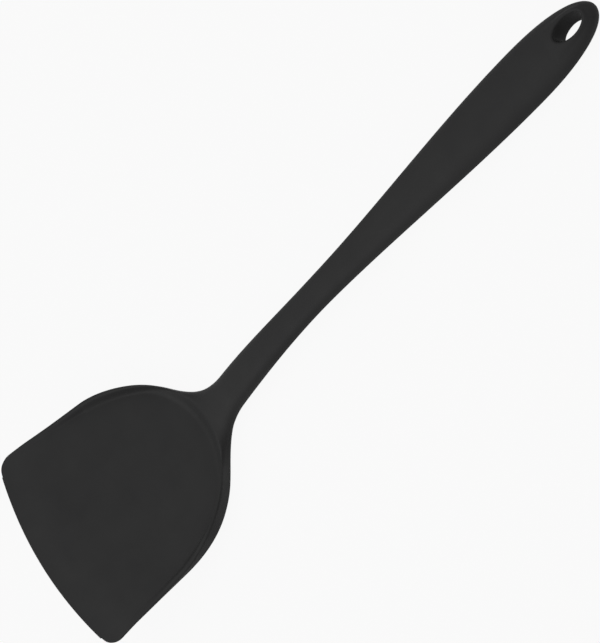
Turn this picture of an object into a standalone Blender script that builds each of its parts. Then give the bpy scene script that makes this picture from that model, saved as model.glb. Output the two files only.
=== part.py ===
"""One-piece silicone wok spatula: a moulded skin over a steel spine and a nylon handle core.

The shape is drawn lying on the belly of its blade: X runs from the middle of the leading edge to
the tip of the handle, Y across the blade and Z up, out of the dish. An empty then tips the whole
spatula back onto its heel and the end of its handle, which is how it lies on a table.
"""

from math import asin, atan2, cos, hypot, pi, radians, sin, sqrt, tan

import bpy
from mathutils import Matrix

MM = 0.001

# Outline seen from above
LENGTH = 318 * MM
BLADE_WIDTH = 90.9 * MM
LEADING_EDGE_RADIUS = 161 * MM
CORNER_RADIUS = 7.5 * MM
SIDE_TAPER = radians(5.6)
SHOULDER_START = 49.6 * MM
SHOULDER_RADIUS = 49.7 * MM
SHOULDER_TURN = radians(45.2)
NECK_FILLET = 14.3 * MM
THROAT_WIDTH = 14.6 * MM
THROAT_LENGTH = 60 * MM
SHAFT_WIDTH = 11.7 * MM
SHAFT_X = 160.4 * MM
GRIP_WIDTH = 22.5 * MM
TIP_LENGTH = 38.6 * MM
TIP_FULLNESS = 2.4

# Side view: the belly of the blade, the bend of the neck and the long fall of the handle
FRONT_FLAT = 46 * MM
BLADE_CURVE_RADIUS = 378 * MM
HEEL_X = 88 * MM
NECK_BEND_RADIUS = 24.3 * MM
NECK_ANGLE = radians(25)
CROWN_RADIUS = 271 * MM
GRIP_ANGLE = radians(8.8)
THROAT_THICKNESS = 9.1 * MM
SHAFT_THICKNESS = 6.8 * MM
GRIP_THICKNESS = 9.8 * MM
NOSE_LENGTH = 8 * MM
HANDLE_SQUARENESS = 2.6

# The dish of the blade
LEADING_EDGE_THICKNESS = 1.2 * MM
FLOOR_THICKNESS = 3.0 * MM
EDGE_BEVEL = 20 * MM
WALL_HEIGHT = 4.0 * MM
WALL_START = 20 * MM
WALL_FULL = 76 * MM
WALL_LEAN = 1.0 * MM
WALL_RUN = 3.2 * MM
FRONT_WALL_RUN = 1.1 * MM
BACK_WALL_RUN = 7 * MM
RIM_WIDTH = 1.4 * MM
BASE_ROUND = 0.8 * MM
SIDE_BEVEL = 7.5 * MM
DISH_END = 87 * MM
DISH_BACK_RADIUS = 37 * MM
DISH_BACK_BOW = 13 * MM
BASE_TURN_START = 80 * MM
NECK_START = 101 * MM

# Hanging hole, an oval through the tip of the handle
HOLE_SETBACK = 12.7 * MM
HOLE_LENGTH = 13 * MM
HOLE_WIDTH = 7.6 * MM
HOLE_LIP = 1.4 * MM
LIP_STEPS = 3

# Silicone over the core, and the gap kept between pieces that touch
SKIN = 1.1 * MM
GAP = 0.3 * MM

# Stamped steel spine: a punched plate in the blade with a strip up the neck
SPINE_THICKNESS = 1.0 * MM
PLATE_FRONT = 20 * MM
PLATE_MARGIN = 9 * MM
PLATE_CORNER = 9 * MM
STRIP_WIDTH = 5.2 * MM
STRIP_BLEND = 6 * MM
SPINE_RISE_START = 86 * MM
SPINE_RISE_END = 104 * MM
SPINE_SETBACK = 113 * MM
KEY_HOLE_DIAMETER = 7 * MM
KEY_HOLE_ROWS = 3
KEY_HOLE_COLUMNS = 3
KEY_HOLE_PITCH = (15 * MM, 20 * MM)
KEY_HOLE_SETBACK = 12 * MM

# Nylon core of the neck and handle, with grooves that key the silicone to it
CORE_START = 107 * MM
KEY_GROOVES = 4
KEY_GROOVE_LENGTH = 6 * MM
KEY_GROOVE_DEPTH = 0.8 * MM
LOCATING_PIN_DIAMETER = 3 * MM
LOCATING_PIN_SPACING = 80 * MM

# Shares and powers that shape the blends
MOST_ROUND = 0.4
WALL_BLEND = 0.5
NOSE_FULLNESS = 2.2
NOSE_LEAST = 0.02
EDGE_THINNING = 0.4

# Points along each feature of a ring
RIM_POINTS = 3
WALL_POINTS = 5
BEVEL_POINTS = 2
FLOOR_POINTS = 4
CORE_POINTS = 20
OVAL_POINTS = 28
PIN_POINTS = 16

# Rings along each stretch, and how far round the tip the last ring lies
CORNER_RINGS = 6
SIDE_RINGS = 5
DISH_RINGS = 20
NECK_RINGS = 7
HANDLE_RINGS = 8
TIP_RINGS = 9
TIP_SHARE = 0.985
CORE_TIP_RINGS = 7
CORE_TIP_SHARE = 0.96
PLATE_CORNER_RINGS = 4
PLATE_RINGS = 6
STRIP_RINGS = 9
CORE_GRIP_RINGS = 5

CREASE_ANGLE = radians(40)

GRIP_X = LENGTH - TIP_LENGTH
HOLE_X = LENGTH - HOLE_SETBACK
SPINE_END = LENGTH - SPINE_SETBACK


def clear_scene():
    """Removes whatever the file opened with."""
    for thing in list(bpy.data.objects):
        bpy.data.objects.remove(thing)


def smooth(t):
    """Eases from 0 to 1 as t goes from 0 to 1."""
    t = min(max(t, 0.0), 1.0)
    return t * t * (3 - 2 * t)


def mix(a, b, t):
    return a + (b - a) * t


def fillet_max(a, b, size):
    """The larger of two widths, with a fillet where they cross."""
    overlap = max(size - abs(a - b), 0) / size
    return max(a, b) + overlap * overlap * size / 4


def round_over(distance, radius):
    """How far a rounded edge falls below its face, at a distance in from the edge."""
    if distance >= radius:
        return 0.0
    return radius - sqrt(radius ** 2 - (radius - distance) ** 2)


def corner_centre():
    """Centre of the arc that rounds a front corner, tangent to the leading edge and the side."""
    y = BLADE_WIDTH / 2 - CORNER_RADIUS
    reach = LEADING_EDGE_RADIUS - CORNER_RADIUS
    return LEADING_EDGE_RADIUS - sqrt(reach ** 2 - y ** 2), y


def side_line(x):
    """Half width along the straight, tapered side."""
    cx, cy = corner_centre()
    touch_x = cx + CORNER_RADIUS * sin(SIDE_TAPER)
    touch_y = cy + CORNER_RADIUS * cos(SIDE_TAPER)
    return touch_y - (x - touch_x) * tan(SIDE_TAPER)


def shoulder(x):
    """Half width round the shoulder: an arc, then the straight run that it ends in."""
    cx = SHOULDER_START - SHOULDER_RADIUS * sin(SIDE_TAPER)
    cy = side_line(SHOULDER_START) - SHOULDER_RADIUS * cos(SIDE_TAPER)
    end = SIDE_TAPER + SHOULDER_TURN
    end_x = cx + SHOULDER_RADIUS * sin(end)
    if x < end_x:
        return cy + sqrt(SHOULDER_RADIUS ** 2 - (x - cx) ** 2)
    return cy + SHOULDER_RADIUS * cos(end) - (x - end_x) * tan(end)


def along_handle(x, throat, shaft, grip):
    """A size that goes from the throat through the slim shaft to the grip."""
    flare = smooth((SHAFT_X - x) / THROAT_LENGTH)
    swell = smooth((x - SHAFT_X) / (GRIP_X - SHAFT_X))
    return shaft + (throat - shaft) * flare + (grip - shaft) * swell


def tip_share(x, inset):
    """Share of the grip's width that the rounded tip keeps, for a tip drawn in by inset."""
    t = (x - GRIP_X) / (TIP_LENGTH - inset)
    return sqrt(max(1 - max(t, 0) ** TIP_FULLNESS, 0))


def nose_share(x, inset):
    """Share of the thickness that the tip's rounded nose keeps."""
    t = (x - LENGTH + inset + NOSE_LENGTH) / NOSE_LENGTH
    return sqrt(max(1 - max(t, 0) ** NOSE_FULLNESS, NOSE_LEAST))


def handle_half_width(x, inset=0.0):
    width = along_handle(x, THROAT_WIDTH, SHAFT_WIDTH, GRIP_WIDTH)
    return (width / 2 - inset) * tip_share(x, inset)


def handle_half_thickness(x, inset=0.0):
    thickness = along_handle(x, THROAT_THICKNESS, SHAFT_THICKNESS, GRIP_THICKNESS)
    return (thickness / 2 - inset) * nose_share(x, inset)


def half_width(x):
    """Half width of the whole outline behind the front corners."""
    if x < SHOULDER_START:
        return side_line(x)
    handle = along_handle(x, THROAT_WIDTH, SHAFT_WIDTH, GRIP_WIDTH) / 2
    return fillet_max(shoulder(x), handle, NECK_FILLET) * tip_share(x, 0.0)


def belly(x):
    """Height of the underside ahead of the heel: an arc that runs out into the flat front."""
    back = min(HEEL_X - x, HEEL_X - FRONT_FLAT)
    drop = sqrt(BLADE_CURVE_RADIUS ** 2 - back ** 2)
    return BLADE_CURVE_RADIUS - drop + max(FRONT_FLAT - x, 0) * back / drop


def underside(x):
    """Height of the lowest line: the belly, the neck's bend, the crown and the straight grip."""
    if x < HEEL_X:
        return belly(x)
    x -= HEEL_X
    bend = NECK_BEND_RADIUS * sin(NECK_ANGLE)
    if x < bend:
        return NECK_BEND_RADIUS - sqrt(NECK_BEND_RADIUS ** 2 - x ** 2)
    height = NECK_BEND_RADIUS * (1 - cos(NECK_ANGLE))
    x -= bend
    crown = CROWN_RADIUS * (sin(NECK_ANGLE) - sin(GRIP_ANGLE))
    if x < crown:
        angle = asin(sin(NECK_ANGLE) - x / CROWN_RADIUS)
        return height + CROWN_RADIUS * (cos(angle) - cos(NECK_ANGLE))
    height += CROWN_RADIUS * (cos(GRIP_ANGLE) - cos(NECK_ANGLE))
    return height + (x - crown) * tan(GRIP_ANGLE)


def handle_middle(x):
    """Height of the handle's centreline."""
    return underside(x) + along_handle(x, THROAT_THICKNESS, SHAFT_THICKNESS, GRIP_THICKNESS) / 2


def spread(start, end, count):
    """Evenly spaced places after start, up to and including end."""
    return [mix(start, end, (i + 1) / count) for i in range(count)]


def round_the_tip(end, share, count):
    """Places from the grip's widest to a share of the way round the tip, closer near its end."""
    return [mix(GRIP_X, end, sin(pi / 2 * t)) for t in spread(0, share, count)]


def outline_points():
    """One side of the outline, from the leading edge round the corner to the tip."""
    cx, cy = corner_centre()
    start = atan2(cy, cx - LEADING_EDGE_RADIUS)
    end = pi / 2 - SIDE_TAPER
    points = []
    for i in range(CORNER_RINGS + 1):
        angle = mix(start, end, i / CORNER_RINGS)
        points.append((cx + CORNER_RADIUS * cos(angle), cy + CORNER_RADIUS * sin(angle)))
    places = spread(points[-1][0], SHOULDER_START, SIDE_RINGS)
    places += spread(SHOULDER_START, NECK_START, DISH_RINGS)
    places += spread(NECK_START, SHAFT_X, NECK_RINGS)
    places += spread(SHAFT_X, GRIP_X, HANDLE_RINGS)
    places += round_the_tip(LENGTH, TIP_SHARE, TIP_RINGS)
    return points + [(x, half_width(x)) for x in places]


def rounded(x_end):
    """How far a ring has come round the shoulder, from the straight side to the back wall."""
    return smooth((x_end - SHOULDER_START) / (DISH_END - DISH_BACK_BOW - SHOULDER_START))


def ring_bow(x_end, x_start):
    """How far the middle of a ring lies behind its two ends: the rings follow the curve of the
    leading edge in front, and bow the other way round the back of the dish."""
    front = x_start * (1 - smooth((x_end - x_start) / (SHOULDER_START - x_start)))
    fullest = DISH_END - DISH_BACK_BOW
    leave = smooth((x_end - fullest) / (NECK_START - fullest))
    return DISH_BACK_BOW * rounded(x_end) * (1 - leave) - front


def section_steps(width):
    """Distances in from the edge of the blade at which its section has points."""
    squeeze = min(1.0, width / (RIM_WIDTH + WALL_RUN) / 2)
    steps = [RIM_WIDTH * i / RIM_POINTS for i in range(RIM_POINTS)]
    steps += [RIM_WIDTH + WALL_RUN * i / WALL_POINTS for i in range(WALL_POINTS + 1)]
    steps = [step * squeeze for step in steps]
    bevel_end = min(SIDE_BEVEL, (steps[-1] + width) / 2)
    steps += spread(steps[-1], bevel_end, BEVEL_POINTS)
    return steps + spread(bevel_end, width, FLOOR_POINTS)


def squeezed(low, high, thin):
    """A point of the underside and one of the top, drawn together to a share of their distance."""
    move = (high[2] - low[2]) * (1 - thin) / 2
    return (low[0], low[1], low[2] + move), (high[0], high[1], high[2] - move)


def turned(x_end, start):
    """How far the blade's square edge has turned into the round side of the neck."""
    return smooth((x_end - start) / (NECK_START - start))


def dish_share(x, y, x_end, rim_half_width, rise):
    """Share of the dish's depth at a place: none on the rim, all of it on the floor. The side wall
    follows the outline, and the back wall is round."""
    slope = (half_width(x_end - MM) - half_width(x_end + MM)) / (2 * MM)
    inward = (rim_half_width - y) / sqrt(1 + slope ** 2)
    side = (inward - RIM_WIDTH) / mix(FRONT_WALL_RUN, WALL_RUN, rise)
    centre = DISH_END - DISH_BACK_RADIUS
    if x < centre:
        return smooth(side)
    back = (DISH_BACK_RADIUS - hypot(x - centre, y)) / BACK_WALL_RUN + 1
    return smooth(-fillet_max(-side, -back, WALL_BLEND))


def skin_ring(x_end, width, x_start, thin=1.0):
    """One closed ring of the skin, whose ends lie on the outline at x_end."""
    middle = x_end + ring_bow(x_end, x_start)
    floor = mix(LEADING_EDGE_THICKNESS, FLOOR_THICKNESS, smooth(middle / EDGE_BEVEL))
    rise = smooth((x_end - WALL_START) / (WALL_FULL - WALL_START))
    edge = floor + WALL_HEIGHT * rise
    lean = WALL_LEAN * rounded(x_end) * (1 - turned(x_end, DISH_END))
    thinned = (floor - LEADING_EDGE_THICKNESS) * (1 - rounded(x_end))
    roundest = (edge - thinned) * MOST_ROUND
    half = handle_half_thickness(x_end)
    centre = handle_middle(x_end) - underside(x_end)
    rim_turn = turned(x_end, SHOULDER_START)
    base_turn = turned(x_end, BASE_TURN_START)
    steps = section_steps(width)
    top, bottom = [], []
    for i, step in enumerate(steps):
        across = max(width * cos(pi / 2 * i / (len(steps) - 1)), 0)
        bulge = half * sqrt(max(1 - (across / width) ** HANDLE_SQUARENESS, 0))
        y = mix(width - step, across, base_turn)
        x = middle + (x_end - middle) * (y / width) ** 2
        low = round_over(step, min(BASE_ROUND, roundest)) + thinned * (1 - smooth(step / SIDE_BEVEL))
        low = mix(low, centre - bulge, base_turn)
        bottom.append((x, y, underside(x) + low))
        y = mix(width - step, across, rim_turn) * (1 - lean / width)
        x = middle + (x_end - middle) * (y / width) ** 2
        high = edge - round_over(step, min(RIM_WIDTH / 2, roundest))
        high = mix(high, centre + bulge, rim_turn)
        depth = dish_share(x, y, x_end, width - lean, rise)
        top.append((x, y, underside(x) + mix(high, min(floor, high), depth)))
    pairs = [squeezed(low, high, thin) for low, high in zip(bottom, top)]
    bottom = [pair[0] for pair in pairs]
    top = [pair[1] for pair in pairs]
    top += [(x, -y, z) for x, y, z in reversed(top[:-1])]
    bottom += [(x, -y, z) for x, y, z in reversed(bottom[:-1])]
    return top + bottom[::-1]


def skin_rings():
    """Rings of the whole outer surface, with a rounded leading edge."""
    points = outline_points()
    x_start = points[0][0]
    rings = [skin_ring(x, width, x_start) for x, width in points]
    nose = skin_ring(points[0][0], points[0][1], x_start, thin=EDGE_THINNING)
    inset = LEADING_EDGE_THICKNESS / 4
    rings[0] = [(x + inset, y, z) for x, y, z in rings[0]]
    return [nose] + rings


def oval(length, width, count=OVAL_POINTS):
    """Points of an upright oval about the origin."""
    angles = [2 * pi * i / count for i in range(count)]
    return [(length / 2 * cos(a), width / 2 * sin(a)) for a in angles]


def handle_ring(x, half_wide, half_thick):
    """One closed ring of a rounded bar that follows the handle's centreline."""
    points = []
    for i in range(CORE_POINTS):
        angle = 2 * pi * (i + 0.5) / CORE_POINTS
        y = half_wide * cos(angle)
        rise = sqrt(max(1 - abs(cos(angle)) ** HANDLE_SQUARENESS, 0))
        z = half_thick * (rise if sin(angle) > 0 else -rise)
        points.append((x, y, handle_middle(x) + z))
    return points


def spine_half_width(x, grow):
    """Half width of the plate, which narrows into the strip; its front corners are round."""
    plate = fillet_max(half_width(x) - PLATE_MARGIN, STRIP_WIDTH / 2, STRIP_BLEND)
    in_from_front = max(x - PLATE_FRONT + grow, 0)
    return plate - round_over(in_from_front, PLATE_CORNER) + grow


def spine_middle(x):
    """Height of the spine: half way up the floor, then along the middle of the neck."""
    rise = smooth((x - SPINE_RISE_START) / (SPINE_RISE_END - SPINE_RISE_START))
    in_floor = underside(x) + FLOOR_THICKNESS / 2
    return mix(in_floor, handle_middle(x), rise)


def spine_rings(grow=0.0):
    """Flat rings of the spine, or of the room that it needs when grown."""
    turns = [pi / 2 * i / PLATE_CORNER_RINGS for i in range(PLATE_CORNER_RINGS)]
    places = [PLATE_FRONT - grow + PLATE_CORNER * (1 - cos(turn)) for turn in turns]
    places += spread(PLATE_FRONT + PLATE_CORNER, SPINE_RISE_START, PLATE_RINGS)
    places += spread(SPINE_RISE_START, CORE_START, STRIP_RINGS)
    places += spread(CORE_START, SPINE_END + grow, STRIP_RINGS)
    half = SPINE_THICKNESS / 2 + grow
    rings = []
    for x in places:
        wide = spine_half_width(x, grow)
        z = spine_middle(x)
        rings.append([(x, wide, z + half), (x, -wide, z + half), (x, -wide, z - half), (x, wide, z - half)])
    return rings


def groove_places():
    """Middles of the key grooves, spread evenly between the end of the spine and the grip's widest."""
    pitch = (GRIP_X - SPINE_END) / (KEY_GROOVES + 1)
    return [SPINE_END + pitch * (i + 1) for i in range(KEY_GROOVES)]


def core_rings(inset):
    """Rings of the nylon core, drawn in from the handle's surface by inset."""
    grow = SKIN + GAP - inset
    start = CORE_START - grow
    end = LENGTH - inset
    half_groove = KEY_GROOVE_LENGTH / 2 - grow
    places = [(start, 0.0)] + [(x, 0.0) for x in spread(start, SPINE_END, STRIP_RINGS)]
    for middle in groove_places():
        places.append((middle - half_groove - KEY_GROOVE_DEPTH, 0.0))
        places.append((middle - half_groove, KEY_GROOVE_DEPTH))
        places.append((middle + half_groove, KEY_GROOVE_DEPTH))
        places.append((middle + half_groove + KEY_GROOVE_DEPTH, 0.0))
    places += [(x, 0.0) for x in spread(places[-1][0], GRIP_X, CORE_GRIP_RINGS)]
    places += [(x, 0.0) for x in round_the_tip(end, CORE_TIP_SHARE, CORE_TIP_RINGS)]
    rings = []
    for x, groove in places:
        wide = handle_half_width(x, inset + groove)
        thick = handle_half_thickness(x, inset + groove)
        rings.append(handle_ring(x, wide, thick))
    return rings


def material(name, colour, roughness, metallic=0.0):
    made = bpy.data.materials.new(name)
    made.use_nodes = True
    shader = made.node_tree.nodes["Principled BSDF"]
    shader.inputs["Base Color"].default_value = (*colour, 1.0)
    shader.inputs["Roughness"].default_value = roughness
    shader.inputs["Metallic"].default_value = metallic
    made.diffuse_color = (*colour, 1.0)
    return made


def add_object(name, points, faces, parent):
    mesh = bpy.data.meshes.new(name)
    mesh.from_pydata(points, [], faces)
    mesh.update()
    made = bpy.data.objects.new(name, mesh)
    bpy.context.scene.collection.objects.link(made)
    made.parent = parent
    return made


def loft(name, rings, parent):
    """Joins closed rings into one body, and closes its ends with strips of quads."""
    count = len(rings[0])
    points = [point for ring in rings for point in ring]
    faces = []
    for k in range(len(rings) - 1):
        for i in range(count):
            j = (i + 1) % count
            faces.append((k * count + i, k * count + j, (k + 1) * count + j, (k + 1) * count + i))
    last = (len(rings) - 1) * count
    for i in range(count // 2 - 1):
        pair = (i, i + 1, count - 2 - i, count - 1 - i)
        faces.append(pair[::-1])
        faces.append(tuple(last + corner for corner in pair))
    return add_object(name, points, faces, parent)


def finish(made, look):
    """Gives a piece its material and smooth shading with its edges kept crisp."""
    made.data.materials.append(look)
    made.data.shade_smooth()
    made.data.set_sharp_from_angle(angle=CREASE_ANGLE)


def as_cutter(made):
    made.hide_render = True
    made.display_type = "WIRE"
    return made


def cut(made, cutter):
    """Takes one solid out of another with a live Boolean modifier."""
    modifier = made.modifiers.new(cutter.name, "BOOLEAN")
    modifier.operation = "DIFFERENCE"
    modifier.solver = "EXACT"
    modifier.object = cutter


def prism(name, outlines, parent):
    """A solid through a stack of like outlines, each a list of points."""
    count = len(outlines[0])
    points = [point for outline in outlines for point in outline]
    faces = [tuple(reversed(range(count)))]
    for k in range(len(outlines) - 1):
        for i in range(count):
            j = (i + 1) % count
            faces.append((k * count + i, k * count + j, (k + 1) * count + j, (k + 1) * count + i))
    last = (len(outlines) - 1) * count
    faces.append(tuple(range(last, last + count)))
    return add_object(name, points, faces, parent)


def eye_solid(name, heights_and_margins, parent):
    """An oval solid through the tip, square to the grip: each level is a height along its axis and
    a margin added all round the hanging hole."""
    place = Matrix.Translation((HOLE_X, 0, handle_middle(HOLE_X)))
    place = place @ Matrix.Rotation(-GRIP_ANGLE, 4, "Y")
    outlines = []
    for height, margin in heights_and_margins:
        flat = oval(HOLE_LENGTH + 2 * margin, HOLE_WIDTH + 2 * margin)
        outlines.append([tuple(place @ Matrix.Translation((x, y, height)).translation) for x, y in flat])
    return prism(name, outlines, parent)


def hanging_hole_levels():
    """The hole with a rounded lip at both faces of the handle. Beyond each face the cutter goes on
    widening, so that it clears the crown of the grip."""
    half = GRIP_THICKNESS / 2
    above = []
    for i in range(LIP_STEPS + 1):
        angle = pi / 2 * i / LIP_STEPS
        above.append((half - HOLE_LIP * (1 - sin(angle)), HOLE_LIP * (1 - cos(angle))))
    above.append((half + HOLE_LIP, 3 * HOLE_LIP))
    return [(-height, margin) for height, margin in reversed(above)] + above


def upright_pin(name, x, y, diameter, low, high, parent):
    """A round upright pin, used to punch holes."""
    flat = oval(diameter, diameter, PIN_POINTS)
    outlines = [[(x + px, y + py, z) for px, py in flat] for z in (low, high)]
    return as_cutter(prism(name, outlines, parent))


def key_hole_places():
    """Middles of the holes punched through the plate."""
    pitch_x, pitch_y = KEY_HOLE_PITCH
    first_y = -pitch_y * (KEY_HOLE_COLUMNS - 1) / 2
    places = []
    for row in range(KEY_HOLE_ROWS):
        for column in range(KEY_HOLE_COLUMNS):
            x = PLATE_FRONT + KEY_HOLE_SETBACK + row * pitch_x
            places.append((x, first_y + column * pitch_y))
    return places


def punch_key_holes(made, shrink, parent):
    for i, (x, y) in enumerate(key_hole_places()):
        middle = spine_middle(x)
        diameter = KEY_HOLE_DIAMETER - 2 * shrink
        low, high = middle - FLOOR_THICKNESS, middle + FLOOR_THICKNESS
        pin = upright_pin(f"{made.name}_punch_{i + 1}", x, y, diameter, low, high, parent)
        cut(made, pin)


def build_spine(parent):
    """The steel stamping, and the room that it takes up in what is moulded round it."""
    spine = loft("steel_spine", spine_rings(), parent)
    punch_key_holes(spine, 0.0, parent)
    finish(spine, material("stainless_steel", (0.55, 0.55, 0.54), 0.35, 1.0))
    room = as_cutter(loft("spine_room", spine_rings(GAP), parent))
    punch_key_holes(room, GAP, parent)
    return room


def build_core(spine_room, parent):
    """The nylon core with its eye, and the room that it takes up in the silicone."""
    core = loft("nylon_core", core_rings(SKIN + GAP), parent)
    cut(core, spine_room)
    reach = GRIP_THICKNESS
    eye = eye_solid("core_eye", [(-reach, SKIN + GAP), (reach, SKIN + GAP)], parent)
    cut(core, as_cutter(eye))
    finish(core, material("black_nylon", (0.045, 0.045, 0.048), 0.6))
    room = as_cutter(loft("core_room", core_rings(SKIN), parent))
    cut(room, as_cutter(eye_solid("eye_lining", [(-reach, SKIN), (reach, SKIN)], parent)))
    return room


def locating_pin_places():
    """Where the mould's two pins held the core up: one among the grooves, one ahead of it."""
    grooves = groove_places()
    rear = (grooves[0] + grooves[-1]) / 2
    return [rear, rear - LOCATING_PIN_SPACING]


def build_skin(spine_room, core_room, parent):
    """The silicone: one moulding, hollow where the spine and the core lie."""
    skin = loft("silicone_skin", skin_rings(), parent)
    cut(skin, spine_room)
    cut(skin, core_room)
    for i, x in enumerate(locating_pin_places()):
        low, high = underside(x) - SKIN, underside(x) + SKIN + GAP
        pin = upright_pin(f"locating_pin_{i + 1}", x, 0.0, LOCATING_PIN_DIAMETER, low, high, parent)
        cut(skin, pin)
    cut(skin, as_cutter(eye_solid("hanging_hole", hanging_hole_levels(), parent)))
    finish(skin, material("black_silicone", (0.03, 0.03, 0.03), 0.5))
    return skin


def lie_down(parent, rings):
    """Tips the spatula back until its heel and the end of its handle touch the table."""
    profile = [(x, z) for ring in rings for x, y, z in ring]
    tilt = 0.0
    for _ in range(20):
        drop = [(z * cos(tilt) - x * sin(tilt), x, z) for x, z in profile]
        heel = min(point for point in drop if point[1] < SHAFT_X)
        tip = min(point for point in drop if point[1] > SHAFT_X)
        tilt = atan2(tip[2] - heel[2], tip[1] - heel[1])
    low = heel[2] * cos(tilt) - heel[1] * sin(tilt)
    along = [x * cos(tilt) + z * sin(tilt) for x, z in profile]
    parent.rotation_euler = (0, tilt, 0)
    parent.location = (-(min(along) + max(along)) / 2, 0, -low)


def main():
    clear_scene()
    whole = bpy.data.objects.new("spatula", None)
    bpy.context.scene.collection.objects.link(whole)
    spine_room = build_spine(whole)
    core_room = build_core(spine_room, whole)
    build_skin(spine_room, core_room, whole)
    lie_down(whole, skin_rings())


main()
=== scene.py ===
from math import asin, atan2, cos, hypot, pi, radians, sin, sqrt, tan

import bmesh
import bpy
from mathutils import Matrix, Vector


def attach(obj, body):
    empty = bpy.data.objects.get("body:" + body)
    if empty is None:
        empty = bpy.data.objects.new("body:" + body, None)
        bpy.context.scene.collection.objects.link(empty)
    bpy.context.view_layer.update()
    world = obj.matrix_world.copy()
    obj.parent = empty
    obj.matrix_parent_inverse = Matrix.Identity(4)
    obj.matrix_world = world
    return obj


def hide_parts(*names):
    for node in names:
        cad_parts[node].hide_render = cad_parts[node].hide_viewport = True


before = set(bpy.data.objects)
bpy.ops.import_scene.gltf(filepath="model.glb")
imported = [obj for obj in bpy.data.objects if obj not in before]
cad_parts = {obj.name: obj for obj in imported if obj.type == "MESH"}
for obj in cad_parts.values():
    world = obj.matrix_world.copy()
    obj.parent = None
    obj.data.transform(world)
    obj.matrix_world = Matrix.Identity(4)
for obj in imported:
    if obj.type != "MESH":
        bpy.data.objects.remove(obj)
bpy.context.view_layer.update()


# The silicone skin is one seamless moulding that is blade, neck and handle at once.
# It is black silicone rubber with a fine satin face, moulded round a steel spine and a nylon core
# in two mould halves, which leave a thin parting line round its sides.
MM = 0.001
LENGTH = 318 * MM
BLADE_WIDTH = 91.4 * MM
LEADING_EDGE_RADIUS = 161 * MM
CORNER_RADIUS = 7.5 * MM
SIDE_TAPER = radians(5.6)
SHOULDER_START = 49.6 * MM
SHOULDER_RADIUS = 49.7 * MM
SHOULDER_TURN = radians(45.2)
NECK_FILLET = 14.3 * MM
THROAT_WIDTH = 15.1 * MM
THROAT_LENGTH = 60 * MM
SHAFT_WIDTH = 12.2 * MM
SHAFT_X = 160.4 * MM
GRIP_WIDTH = 23.0 * MM
TIP_LENGTH = 38.6 * MM
TIP_FULLNESS = 2.4
FRONT_FLAT = 46 * MM
BLADE_CURVE_RADIUS = 378 * MM
HEEL_X = 88 * MM
NECK_BEND_RADIUS = 24.3 * MM
NECK_ANGLE = radians(25)
CROWN_RADIUS = 271 * MM
GRIP_ANGLE = radians(8.8)
THROAT_THICKNESS = 9.1 * MM
SHAFT_THICKNESS = 6.8 * MM
GRIP_THICKNESS = 9.8 * MM
NOSE_LENGTH = 8 * MM
NOSE_FULLNESS = 2.2
NOSE_LEAST = 0.02
THROAT_SQUARENESS = 2.6
SHAFT_SQUARENESS = 3.0
GRIP_SQUARENESS = 2.4
LEADING_EDGE_THICKNESS = 1.2 * MM
FLOOR_THICKNESS = 3.0 * MM
EDGE_BEVEL = 20 * MM
WALL_HEIGHT = 4.0 * MM
WALL_START = 20 * MM
WALL_FULL = 76 * MM
WALL_LEAN = 1.0 * MM
WALL_RUN = 3.2 * MM
FRONT_WALL_RUN = 1.1 * MM
BACK_WALL_RUN = 7 * MM
RIM_WIDTH = 1.4 * MM
BASE_ROUND = 0.8 * MM
SIDE_BEVEL = 7.5 * MM
DISH_END = 87 * MM
DISH_BACK_RADIUS = 37 * MM
DISH_BACK_BOW = 13 * MM
BASE_TURN_START = 80 * MM
NECK_START = 101 * MM
MOST_ROUND = 0.4
WALL_BLEND = 0.5
GRIP_X = LENGTH - TIP_LENGTH


def smooth(t):
    t = min(max(t, 0.0), 1.0)
    return t * t * (3 - 2 * t)


def mix(a, b, t):
    return a + (b - a) * t


def fillet_max(a, b, size):
    """The larger of two values, blended where they are nearly equal."""
    overlap = max(size - abs(a - b), 0) / size
    return max(a, b) + overlap * overlap * size / 4


def round_over(distance, radius):
    """How far a rounded edge has fallen at a distance in from it."""
    if distance >= radius:
        return 0.0
    return radius - sqrt(radius ** 2 - (radius - distance) ** 2)


def corner_centre():
    y = BLADE_WIDTH / 2 - CORNER_RADIUS
    reach = LEADING_EDGE_RADIUS - CORNER_RADIUS
    return LEADING_EDGE_RADIUS - sqrt(reach ** 2 - y ** 2), y


def side_line(x):
    cx, cy = corner_centre()
    touch_x = cx + CORNER_RADIUS * sin(SIDE_TAPER)
    touch_y = cy + CORNER_RADIUS * cos(SIDE_TAPER)
    return touch_y - (x - touch_x) * tan(SIDE_TAPER)


def shoulder(x):
    cx = SHOULDER_START - SHOULDER_RADIUS * sin(SIDE_TAPER)
    cy = side_line(SHOULDER_START) - SHOULDER_RADIUS * cos(SIDE_TAPER)
    end = SIDE_TAPER + SHOULDER_TURN
    end_x = cx + SHOULDER_RADIUS * sin(end)
    if x < end_x:
        return cy + sqrt(SHOULDER_RADIUS ** 2 - (x - cx) ** 2)
    return cy + SHOULDER_RADIUS * cos(end) - (x - end_x) * tan(end)


def along_handle(x, throat, shaft, grip):
    """A measure that eases from the neck's throat to the slim shaft and on to the grip."""
    flare = smooth((SHAFT_X - x) / THROAT_LENGTH)
    swell = smooth((x - SHAFT_X) / (GRIP_X - SHAFT_X))
    return shaft + (throat - shaft) * flare + (grip - shaft) * swell


def half_width(x):
    if x < SHOULDER_START:
        return side_line(x)
    tip = sqrt(max(1 - max((x - GRIP_X) / TIP_LENGTH, 0) ** TIP_FULLNESS, 0))
    handle = along_handle(x, THROAT_WIDTH, SHAFT_WIDTH, GRIP_WIDTH) / 2
    return fillet_max(shoulder(x), handle, NECK_FILLET) * tip


def full_thickness(x):
    return along_handle(x, THROAT_THICKNESS, SHAFT_THICKNESS, GRIP_THICKNESS)


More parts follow.
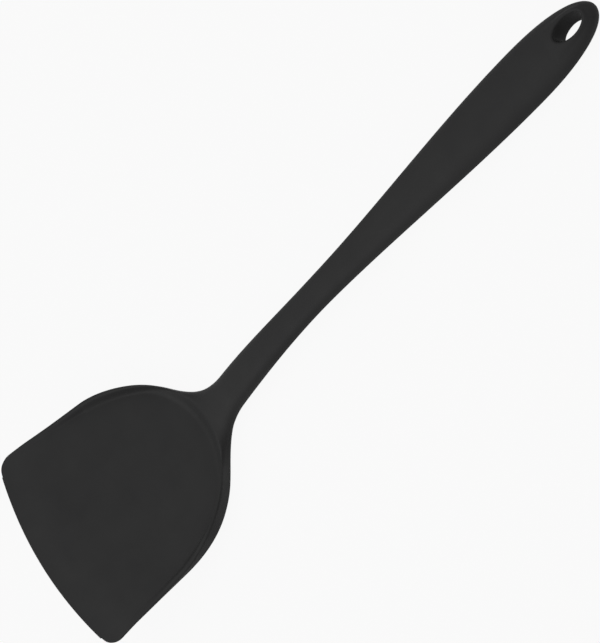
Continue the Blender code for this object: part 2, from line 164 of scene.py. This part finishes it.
def half_thickness(x):
    into_nose = max((x - LENGTH + NOSE_LENGTH) / NOSE_LENGTH, 0)
    return full_thickness(x) / 2 * sqrt(max(1 - into_nose ** NOSE_FULLNESS, NOSE_LEAST))


def belly(x):
    """Height of the blade's underside: a large arc behind a straight front."""
    back = min(HEEL_X - x, HEEL_X - FRONT_FLAT)
    drop = sqrt(BLADE_CURVE_RADIUS ** 2 - back ** 2)
    return BLADE_CURVE_RADIUS - drop + max(FRONT_FLAT - x, 0) * back / drop


def underside(x):
    """Height of the underside: the blade, the neck's bend, the arched handle, the straight grip."""
    if x < HEEL_X:
        return belly(x)
    x -= HEEL_X
    bend = NECK_BEND_RADIUS * sin(NECK_ANGLE)
    if x < bend:
        return NECK_BEND_RADIUS - sqrt(NECK_BEND_RADIUS ** 2 - x ** 2)
    height = NECK_BEND_RADIUS * (1 - cos(NECK_ANGLE))
    x -= bend
    crown = CROWN_RADIUS * (sin(NECK_ANGLE) - sin(GRIP_ANGLE))
    if x < crown:
        angle = asin(sin(NECK_ANGLE) - x / CROWN_RADIUS)
        return height + CROWN_RADIUS * (cos(angle) - cos(NECK_ANGLE))
    height += CROWN_RADIUS * (cos(GRIP_ANGLE) - cos(NECK_ANGLE))
    return height + (x - crown) * tan(GRIP_ANGLE)


def squareness(x):
    return along_handle(x, THROAT_SQUARENESS, SHAFT_SQUARENESS, GRIP_SQUARENESS)


def handle_middle(x):
    return underside(x) + full_thickness(x) / 2


def spread(start, end, count):
    return [mix(start, end, (i + 1) / count) for i in range(count)]


HOLE_X = LENGTH - 12.1 * MM
PIN_PLACES = (162.2 * MM, 242.2 * MM)
PIN_ROOM = 4 * MM
SEAM_HEIGHT = 0.15 * MM
SEAM_TURN = radians(1.3)
SEAM_HALF_WIDTH = 0.03 * MM
SEAM_WELD = 0.002 * MM
COLLAR_FRONT = HOLE_X - 11.3 * MM
COLLAR_BACK = HOLE_X + 8.7 * MM
COLLAR_SHARE = 0.69
CORNER_RINGS = 15
SIDE_RINGS = 16
DISH_RINGS = 56
SHAFT_RINGS = (17, 16)
PIN_RINGS = 8
GRIP_RINGS = 8
TIP_RINGS = 9
COLLAR_RINGS = 20
END_RINGS = 9
LAST_RING = 0.99
NOSE_RINGS = 5
LEAD_RINGS = 6
RIM_STEPS = 6
RIM_GATHER = 1.4
WALL_STEPS = 10
BEVEL_STEPS = 4
FLOOR_STEPS = 9


def stations():
    """Places of the rings along one side of the outline, closer where it curves."""
    cx, cy = corner_centre()
    start = atan2(cy, cx - LEADING_EDGE_RADIUS)
    points = []
    for i in range(CORNER_RINGS):
        angle = mix(start, pi / 2 - SIDE_TAPER, i / (CORNER_RINGS - 1))
        points.append((cx + CORNER_RADIUS * cos(angle), cy + CORNER_RADIUS * sin(angle)))
    places = spread(points[-1][0], SHOULDER_START, SIDE_RINGS)
    places += spread(SHOULDER_START, NECK_START, DISH_RINGS)
    for start, end, count in zip((NECK_START, PIN_PLACES[0] + PIN_ROOM), PIN_PLACES, SHAFT_RINGS):
        places += spread(start, end - PIN_ROOM, count)
        places += spread(end - PIN_ROOM, end + PIN_ROOM, PIN_RINGS)
    places += spread(PIN_PLACES[1] + PIN_ROOM, GRIP_X, GRIP_RINGS)
    places += spread(GRIP_X, COLLAR_FRONT, TIP_RINGS)
    places += spread(COLLAR_FRONT, COLLAR_BACK, COLLAR_RINGS)
    rest = [mix(COLLAR_BACK, LENGTH, sin(pi / 2 * t)) for t in spread(0, LAST_RING, END_RINGS)]
    return points + [(x, half_width(x)) for x in places + rest]


def rounded(x_end):
    """0 along the blade's straight sides, rising to 1 where the dish is round."""
    return smooth((x_end - SHOULDER_START) / (DISH_END - DISH_BACK_BOW - SHOULDER_START))


def ring_bow(x_end, x_start):
    """How far a ring's middle lies from its ends: ahead at the front, behind at the dish's end."""
    front = x_start * (1 - smooth((x_end - x_start) / (SHOULDER_START - x_start)))
    fullest = DISH_END - DISH_BACK_BOW
    leave = smooth((x_end - fullest) / (NECK_START - fullest))
    return DISH_BACK_BOW * rounded(x_end) * (1 - leave) - front


def turned(x_end, start):
    """0 up to a start, rising to 1 where the neck begins."""
    return smooth((x_end - start) / (NECK_START - start))


def dish_share(x, y, x_end, rim_half_width, rise):
    """0 on the rim and 1 on the dish's floor, with the wall's slope between them."""
    slope = (half_width(x_end - MM) - half_width(x_end + MM)) / (2 * MM)
    inward = (rim_half_width - y) / sqrt(1 + slope ** 2)
    side = (inward - RIM_WIDTH) / mix(FRONT_WALL_RUN, WALL_RUN, rise)
    centre = DISH_END - DISH_BACK_RADIUS
    if x < centre:
        return smooth(side)
    back = (DISH_BACK_RADIUS - hypot(x - centre, y)) / BACK_WALL_RUN + 1
    return smooth(-fillet_max(-side, -back, WALL_BLEND))


def section_steps(width):
    """Distances in from the edge at which a ring has points.

    The first two frame the parting line.
    """
    squeeze = min(1.0, width / (RIM_WIDTH + WALL_RUN) / 2)
    steps = [0, SEAM_HALF_WIDTH]
    steps += [RIM_WIDTH * (i / RIM_STEPS) ** RIM_GATHER for i in range(1, RIM_STEPS)]
    steps += [RIM_WIDTH + WALL_RUN * i / WALL_STEPS for i in range(WALL_STEPS + 1)]
    steps = [step * squeeze for step in steps]
    bevel_end = min(SIDE_BEVEL, (steps[-1] + width) / 2)
    steps += spread(steps[-1], bevel_end, BEVEL_STEPS)
    return steps + spread(bevel_end, width, FLOOR_STEPS)


def skin_ring(x_end, width, x_start, thin=1.0):
    """One closed ring: the top from side to side, and back along the underside."""
    middle = x_end + ring_bow(x_end, x_start)
    floor = mix(LEADING_EDGE_THICKNESS, FLOOR_THICKNESS, smooth(middle / EDGE_BEVEL))
    rise = smooth((x_end - WALL_START) / (WALL_FULL - WALL_START))
    edge = floor + WALL_HEIGHT * rise
    lean = WALL_LEAN * rounded(x_end) * (1 - turned(x_end, DISH_END))
    thinned = (floor - LEADING_EDGE_THICKNESS) * (1 - rounded(x_end))
    roundest = (edge - thinned) * MOST_ROUND
    half = half_thickness(x_end)
    centre = handle_middle(x_end) - underside(x_end)
    rim_turn = turned(x_end, SHOULDER_START)
    base_turn = turned(x_end, BASE_TURN_START)
    steps = section_steps(width)
    turns = [0, SEAM_TURN] + spread(0, pi / 2, len(steps) - 2)
    top, bottom = [], []
    for step, turn in zip(steps, turns):
        across = max(width * cos(turn), 0)
        bulge = half * sqrt(max(1 - (across / width) ** squareness(x_end), 0))
        if step == 0:
            across += SEAM_HEIGHT * base_turn
        y = mix(width - step, across, base_turn)
        x = middle + (x_end - middle) * (y / width) ** 2
        low = round_over(step, min(BASE_ROUND, roundest))
        low += thinned * (1 - smooth(step / SIDE_BEVEL))
        low = mix(low, centre - bulge, base_turn)
        under = (x, y, underside(x) + low)
        y = mix(width - step, across, rim_turn) * (1 - lean / width)
        x = middle + (x_end - middle) * (y / width) ** 2
        high = edge - round_over(step, min(RIM_WIDTH / 2, roundest))
        high = mix(high, centre + bulge, rim_turn)
        depth = dish_share(x, y, x_end, width - lean, rise)
        over = (x, y, underside(x) + mix(high, min(floor, high), depth))
        pinch = (over[2] - under[2]) * (1 - thin) / 2
        bottom.append((under[0], under[1], under[2] + pinch))
        top.append((over[0], over[1], over[2] - pinch))
    top += [(x, -y, z) for x, y, z in reversed(top[:-1])]
    bottom += [(x, -y, z) for x, y, z in reversed(bottom[:-1])]
    return top + bottom[::-1]


bpy.ops.object.select_all(action="DESELECT")
outline = stations()
x_start = outline[0][0]
nose = LEADING_EDGE_THICKNESS / 2
rings = []
for i in range(NOSE_RINGS):
    angle = pi / 2 * i / NOSE_RINGS
    ring = skin_ring(outline[0][0], outline[0][1], x_start, thin=sin(angle))
    rings.append([(x - nose * cos(angle) + nose, y, z) for x, y, z in ring])
for i, (x, width) in enumerate(outline):
    lead = nose * (1 - smooth(i / LEAD_RINGS))
    rings.append([(px + lead, y, z) for px, y, z in skin_ring(x, width, x_start)])
RINGS = len(rings)
POINTS = len(rings[0])
bpy.ops.mesh.primitive_grid_add(x_subdivisions=RINGS - 1, y_subdivisions=POINTS, size=1)
skin = bpy.context.object
skin.name = "silicone_surface"
for vert in skin.data.vertices:
    k = round((vert.co.x + 0.5) * (RINGS - 1))
    i = round((vert.co.y + 0.5) * POINTS)
    vert.co = rings[k][i % POINTS]


def pick_open_edges():
    """Selects the edges where the skin is still open."""
    bpy.ops.mesh.select_all(action="DESELECT")
    bpy.ops.mesh.select_mode(type="EDGE")
    bpy.ops.mesh.select_non_manifold(
        extend=False,
        use_wire=False,
        use_multi_face=False,
        use_non_contiguous=False,
        use_verts=False,
    )


# The ring of points ends as a closed tube: its seam is merged and the tip is capped.
bpy.ops.object.mode_set(mode="EDIT")
bpy.ops.mesh.select_all(action="SELECT")
bpy.ops.mesh.remove_doubles(threshold=SEAM_WELD)
pick_open_edges()
bpy.ops.mesh.edge_face_add()
bpy.ops.mesh.select_all(action="SELECT")
bpy.ops.mesh.normals_make_consistent(inside=False)


def pick_faces(test):
    """Selects the faces whose middle and normal pass a test."""
    bpy.ops.mesh.select_all(action="DESELECT")
    bpy.ops.mesh.select_mode(type="FACE")
    work = bmesh.from_edit_mesh(skin.data)
    for face in work.faces:
        face.select = test(face.calc_center_median(), face.normal)
    work.select_flush_mode()
    bmesh.update_edit_mesh(skin.data)


def extrude_rim(place):
    """Extrudes the selected rim of a cut, and puts each new point where place says."""
    bpy.ops.mesh.extrude_edges_move()
    work = bmesh.from_edit_mesh(skin.data)
    for vert in work.verts:
        if vert.select:
            vert.co = place(vert.co)
    bmesh.update_edit_mesh(skin.data)


def on_handle(x, y, side):
    """A point of the handle's top (side 1) or underside (side -1)."""
    across = min(abs(y) / half_width(x), 1)
    rise = half_thickness(x) * sqrt(max(1 - across ** squareness(x), 0))
    return Vector((x, y, handle_middle(x) + side * rise))


# The hanging hole goes through the tip, and narrows toward the underside, as a moulded hole does.
# Its soft lip stands a little proud of the top, and its wall lines the nylon eye.
HOLE_TOP = (6.7 * MM, 3.7 * MM)
HOLE_BOTTOM = (5.4 * MM, 2.3 * MM)
HOLE_FLARE = (7.7 * MM, 4.8 * MM)
LIP_ROLL = 1.0 * MM
LIP_RISE = 0.5 * MM
COLLAR_STEPS = 6
LIP_STEPS = 5
HOLE_WALL_STEPS = 3
CUT_HEIGHT = 2 * MM
HOLE_WELD = 0.05 * MM


def to_oval(co, old, new, z):
    """Moves a point of one oval about the hole to the same place on another."""
    turn = atan2(co.y / old[1], (co.x - HOLE_X) / old[0])
    return Vector((HOLE_X + new[0] * cos(turn), new[1] * sin(turn), z))


def between(old, new, share):
    """An oval between two others."""
    return mix(old[0], new[0], share), mix(old[1], new[1], share)


def in_collar(centre, normal):
    if not COLLAR_FRONT < centre.x < COLLAR_BACK:
        return False
    return abs(centre.y) < COLLAR_SHARE * half_width(centre.x) and normal.z * side > 0


for side in (1, -1):
    pick_faces(in_collar)
    bpy.ops.mesh.delete(type="FACE")
for side in (1, -1):
    bpy.ops.mesh.select_all(action="DESELECT")
    bpy.ops.mesh.select_mode(type="EDGE")
    work = bmesh.from_edit_mesh(skin.data)
    for edge in work.edges:
        middle = (edge.verts[0].co + edge.verts[1].co) / 2
        height = (middle.z - handle_middle(middle.x)) * side
        edge.select = edge.is_boundary and height > CUT_HEIGHT
    bmesh.update_edit_mesh(skin.data)
    for i in range(COLLAR_STEPS):
        share = 1 / (COLLAR_STEPS - i)
        rise = LIP_RISE * smooth((i + 1) / COLLAR_STEPS) if side == 1 else 0
        def toward_lip(co):
            lip = to_oval(co, HOLE_FLARE, HOLE_FLARE, 0)
            surface = on_handle(mix(co.x, lip.x, share), mix(co.y, lip.y, share), side)
            return surface + Vector((0, 0, rise))
        extrude_rim(toward_lip)
    edge = HOLE_TOP if side == 1 else HOLE_BOTTOM
    for i in range(LIP_STEPS):
        start, end = pi / 2 * i / LIP_STEPS, pi / 2 * (i + 1) / LIP_STEPS
        old = between(HOLE_FLARE, edge, sin(start))
        new = between(HOLE_FLARE, edge, sin(end))
        fall = LIP_ROLL * (cos(start) - cos(end))
        extrude_rim(lambda co: to_oval(co, old, new, co.z - side * fall))
    waist = between(HOLE_TOP, HOLE_BOTTOM, 0.5)
    for i in range(HOLE_WALL_STEPS):
        old = between(edge, waist, i / HOLE_WALL_STEPS)
        new = between(edge, waist, (i + 1) / HOLE_WALL_STEPS)
        share = 1 / (HOLE_WALL_STEPS - i)
        extrude_rim(lambda co: to_oval(co, old, new, mix(co.z, handle_middle(HOLE_X), share)))
pick_open_edges()
bpy.ops.mesh.remove_doubles(threshold=HOLE_WELD)

# Two round recesses under the handle are left by the mould's pins, which held the core up.
PIN_RADIUS = 1.5 * MM
PIN_EDGE = 0.25 * MM
PIN_DEPTH = 1.0 * MM
PIN_SHARE = 0.5
PIN_WALL = (
    (PIN_RADIUS + PIN_EDGE, 0.5, 0),
    (PIN_RADIUS + PIN_EDGE, 1, 0),
    (PIN_RADIUS, 1, PIN_EDGE),
    (PIN_RADIUS, 1, PIN_DEPTH - PIN_EDGE),
    (PIN_RADIUS - PIN_EDGE, 1, PIN_DEPTH),
)


def to_pin(co, radius, share, depth):
    """Moves a point toward the circle of the pin, and up to a depth under the surface."""
    turn = atan2(co.y, co.x - pin)
    x = mix(co.x, pin + radius * cos(turn), share)
    y = mix(co.y, radius * sin(turn), share)
    return on_handle(x, y, -1) + Vector((0, 0, depth))


def round_pin(centre, normal):
    if abs(centre.x - pin) >= PIN_ROOM:
        return False
    return abs(centre.y) < PIN_SHARE * half_width(centre.x) and normal.z < 0


for pin in PIN_PLACES:
    pick_faces(round_pin)
    bpy.ops.mesh.delete(type="FACE")
    pick_open_edges()
    for radius, share, depth in PIN_WALL:
        extrude_rim(lambda co: to_pin(co, radius, share, depth))
    bpy.ops.mesh.edge_face_add()
bpy.ops.mesh.select_all(action="SELECT")
bpy.ops.mesh.normals_make_consistent(inside=False)
bpy.ops.object.mode_set(mode="OBJECT")

# The spatula lies on its heel and the end of its handle, so the finished mesh is tipped back.
TILT = radians(11.836835)
REST_PLACE = (-161.831 * MM, 0, 18.565 * MM)
REST = Matrix.Translation(REST_PLACE) @ Matrix.Rotation(TILT, 4, "Y")
skin.data.transform(REST)
modifier = skin.modifiers.new("rounding", "SUBSURF")
modifier.levels = 1
modifier.render_levels = 1
bpy.ops.object.modifier_apply(modifier=modifier.name)
bpy.ops.object.shade_smooth()


def node_material(name, colour, roughness, metallic=0.0):
    """A material with its main shader, and the coordinates that its patterns read."""
    made = bpy.data.materials.new(name)
    made.use_nodes = True
    shader = made.node_tree.nodes["Principled BSDF"]
    shader.inputs["Base Color"].default_value = (*colour, 1)
    shader.inputs["Roughness"].default_value = roughness
    shader.inputs["Metallic"].default_value = metallic
    where = made.node_tree.nodes.new("ShaderNodeTexCoord")
    return made, shader, where.outputs["Object"]


def noise(made, where, scale, detail=2.0, stretch=(1, 1, 1)):
    """Cloudy noise on the object's own coordinates, in copies per metre."""
    tree = made.node_tree
    place = tree.nodes.new("ShaderNodeMapping")
    place.inputs["Scale"].default_value = stretch
    cloud = tree.nodes.new("ShaderNodeTexNoise")
    cloud.inputs["Scale"].default_value = scale
    cloud.inputs["Detail"].default_value = detail
    tree.links.new(where, place.inputs["Vector"])
    tree.links.new(place.outputs["Vector"], cloud.inputs["Vector"])
    return cloud.outputs["Fac"]


def ramp(made, value, low, high, start=0.35, end=0.65):
    """Maps a noise value onto a range of colours."""
    tree = made.node_tree
    scale = tree.nodes.new("ShaderNodeValToRGB")
    scale.color_ramp.elements[0].position = start
    scale.color_ramp.elements[0].color = (*low, 1)
    scale.color_ramp.elements[1].position = end
    scale.color_ramp.elements[1].color = (*high, 1)
    tree.links.new(value, scale.inputs["Fac"])
    return scale.outputs["Color"]


def grey(level):
    return level, level, level


def bump(made, shader, height, strength, distance, under=None):
    """Relief from a noise value, on the shader, and over another relief where one is given."""
    tree = made.node_tree
    relief = tree.nodes.new("ShaderNodeBump")
    relief.inputs["Strength"].default_value = strength
    relief.inputs["Distance"].default_value = distance
    tree.links.new(height, relief.inputs["Height"])
    if under:
        tree.links.new(under, relief.inputs["Normal"])
    tree.links.new(relief.outputs["Normal"], shader.inputs["Normal"])
    return relief.outputs["Normal"]


SILICONE_DARKEST = (0.019, 0.019, 0.0193)
SILICONE_PALEST = (0.021, 0.021, 0.021)
SILICONE_IOR = 1.42
SILICONE_GLOSS = 0.25
TINT_CLOUDS = 45
SHEEN_CLOUDS = 120
SOFT_WAVES = 160
SOFT_HEIGHT = 0.05 * MM
MOULD_GRAIN = 3600
GRAIN_HEIGHT = 0.02 * MM
silicone, shader, where = node_material("black_silicone", grey(0.02), roughness=0.65)
shader.inputs["IOR"].default_value = SILICONE_IOR
shader.inputs["Specular IOR Level"].default_value = SILICONE_GLOSS
tint = ramp(silicone, noise(silicone, where, TINT_CLOUDS), SILICONE_DARKEST, SILICONE_PALEST)
silicone.node_tree.links.new(tint, shader.inputs["Base Color"])
sheen = ramp(silicone, noise(silicone, where, SHEEN_CLOUDS, detail=4), grey(0.62), grey(0.68))
silicone.node_tree.links.new(sheen, shader.inputs["Roughness"])
waves = noise(silicone, where, SOFT_WAVES)
soft = bump(silicone, shader, waves, strength=0.25, distance=SOFT_HEIGHT)
grain = noise(silicone, where, MOULD_GRAIN)
bump(silicone, shader, grain, strength=0.35, distance=GRAIN_HEIGHT, under=soft)
skin.data.materials.clear()
skin.data.materials.append(silicone)
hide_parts("silicone_skin")
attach(skin, "root")


# The nylon core stiffens the neck and the handle. It is glass-filled nylon, sealed in the silicone,
# and shows the swirls of glass fibre that such mouldings have.
NYLON_BLACK = (0.045, 0.045, 0.048)
NYLON_DARKEST = (0.035, 0.035, 0.037)
NYLON_PALEST = (0.06, 0.06, 0.062)
FIBRE_SWIRLS = 900
FIBRE_STRETCH = (0.15, 1, 1)
FIBRE_HEIGHT = 0.03 * MM
nylon, shader, where = node_material("black_nylon", NYLON_BLACK, roughness=0.6)
fibre = noise(nylon, where, FIBRE_SWIRLS, detail=3, stretch=FIBRE_STRETCH)
tint = ramp(nylon, fibre, NYLON_DARKEST, NYLON_PALEST)
nylon.node_tree.links.new(tint, shader.inputs["Base Color"])
sheen = ramp(nylon, fibre, grey(0.5), grey(0.7))
nylon.node_tree.links.new(sheen, shader.inputs["Roughness"])
bump(nylon, shader, fibre, strength=0.3, distance=FIBRE_HEIGHT)
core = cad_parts["nylon_core"]
core.data.materials.clear()
core.data.materials.append(nylon)


# The steel spine is a punched strip of stainless sheet, rolled along its length.
# It runs in the floor of the blade and up the neck into the nylon.
STEEL_GREY = (0.55, 0.55, 0.54)
STEEL_DARKEST = (0.5, 0.5, 0.49)
STEEL_PALEST = (0.6, 0.6, 0.59)
ROLL_LINES = 2400
ROLL_STRETCH = (0.04, 1, 1)
ROLL_HEIGHT = 0.01 * MM
steel, shader, where = node_material("stainless_steel", STEEL_GREY, roughness=0.35, metallic=1.0)
grain = noise(steel, where, ROLL_LINES, detail=3, stretch=ROLL_STRETCH)
tint = ramp(steel, grain, STEEL_DARKEST, STEEL_PALEST)
steel.node_tree.links.new(tint, shader.inputs["Base Color"])
sheen = ramp(steel, grain, grey(0.28), grey(0.42))
steel.node_tree.links.new(sheen, shader.inputs["Roughness"])
bump(steel, shader, grain, strength=0.2, distance=ROLL_HEIGHT)
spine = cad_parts["steel_spine"]
spine.data.materials.clear()
spine.data.materials.append(steel)


# The table is a plain board that the spatula lies on. It shows white to the camera and in gloss,
# and keeps a faint shadow. Its own grey throws little light up at the spatula's sides.
TABLE_SIZE = 6
TABLE_DROP = 0.3 * MM
TABLE_GREY = 0.3
TABLE_WHITE = 0.93
bpy.ops.object.select_all(action="DESELECT")
bpy.ops.mesh.primitive_plane_add(size=TABLE_SIZE, location=(0, 0, -TABLE_DROP))
table = bpy.context.object
table.name = "table"
board = bpy.data.materials.new("white_board")
board.use_nodes = True
tree = board.node_tree
shader = tree.nodes["Principled BSDF"]
shader.inputs["Base Color"].default_value = (*grey(TABLE_GREY), 1)
shader.inputs["Roughness"].default_value = 0.9
glow = tree.nodes.new("ShaderNodeEmission")
glow.inputs["Color"].default_value = (1, 1, 1, 1)
glow.inputs["Strength"].default_value = 1.0
path = tree.nodes.new("ShaderNodeLightPath")
seen = tree.nodes.new("ShaderNodeMath")
seen.operation = "MAXIMUM"
tree.links.new(path.outputs["Is Camera Ray"], seen.inputs[0])
tree.links.new(path.outputs["Is Glossy Ray"], seen.inputs[1])
both = tree.nodes.new("ShaderNodeMath")
both.operation = "MULTIPLY"
both.inputs[1].default_value = TABLE_WHITE
tree.links.new(seen.outputs["Value"], both.inputs[0])
blend = tree.nodes.new("ShaderNodeMixShader")
tree.links.new(both.outputs["Value"], blend.inputs["Fac"])
tree.links.new(shader.outputs["BSDF"], blend.inputs[1])
tree.links.new(glow.outputs["Emission"], blend.inputs[2])
tree.links.new(blend.outputs["Shader"], tree.nodes["Material Output"].inputs["Surface"])
table.data.materials.append(board)


# The light is a plain studio: an even pale room, a large soft box overhead, and a lower one beyond
# the blade, which picks out the neck's crest.
ROOM_LEVEL = 0.62
BOX_SIZE = (1.6, 1.6)
world = bpy.data.worlds.new("studio")
bpy.context.scene.world = world
world.use_nodes = True
world.node_tree.nodes["Background"].inputs["Color"].default_value = (1, 1, 1, 1)
world.node_tree.nodes["Background"].inputs["Strength"].default_value = ROOM_LEVEL


def soft_box(name, place, power):
    """A square area lamp that points at the middle of the table."""
    lamp = bpy.data.lights.new(name, "AREA")
    lamp.shape = "RECTANGLE"
    lamp.size, lamp.size_y = BOX_SIZE
    lamp.energy = power
    box = bpy.data.objects.new(name, lamp)
    bpy.context.scene.collection.objects.link(box)
    box.location = place
    box.rotation_euler = (-Vector(place)).to_track_quat("-Z", "Y").to_euler()


soft_box("overhead_box", place=(0, 0, 3), power=16)
soft_box("blade_end_box", place=(-2.4, -0.5, 1.8), power=24)


# The camera looks down at the spatula from its near side, 1.1 m away, as in the photograph.
# AIM and TOWARD are in the spatula's own frame, before it is tipped back. SCALE is pixels per mm.
VIEW_WIDTH = 600
SENSOR_WIDTH = 36
DISTANCE = 1100 * MM
SCALE = 2.6534
AIM = Vector((0.159, 0, 0.018))
TOWARD = Vector((0.28957, -0.38594, 0.8759))
OFF_CENTRE = (-16.65, -15.25)
HANDLE_TURN = radians(44)
ROLL = radians(-2.324)
FARTHEST = 20
toward = TOWARD.normalized()
level = Vector((0, 0, 1)).cross(toward).normalized()
upright = toward.cross(level)
turn = HANDLE_TURN - atan2(upright.x, level.x) + ROLL
right = level * cos(turn) - upright * sin(turn)
up = level * sin(turn) + upright * cos(turn)
spot = AIM + toward * DISTANCE
pixels = SCALE * DISTANCE / MM
look = (-toward + right * OFF_CENTRE[0] / pixels + up * OFF_CENTRE[1] / pixels).normalized()
right = (right - look * right.dot(look)).normalized()
up = right.cross(look)
pose = Matrix((right, up, -look)).transposed().to_4x4()
camera_data = bpy.data.cameras.new("camera")
camera_data.sensor_fit = "HORIZONTAL"
camera_data.sensor_width = SENSOR_WIDTH
camera_data.lens = pixels / VIEW_WIDTH * SENSOR_WIDTH
camera_data.clip_end = FARTHEST
camera = bpy.data.objects.new("camera", camera_data)
bpy.context.scene.collection.objects.link(camera)
camera.matrix_world = REST @ Matrix.Translation(spot) @ pose
bpy.context.scene.camera = camera
bpy.context.scene.view_settings.view_transform = "Standard"
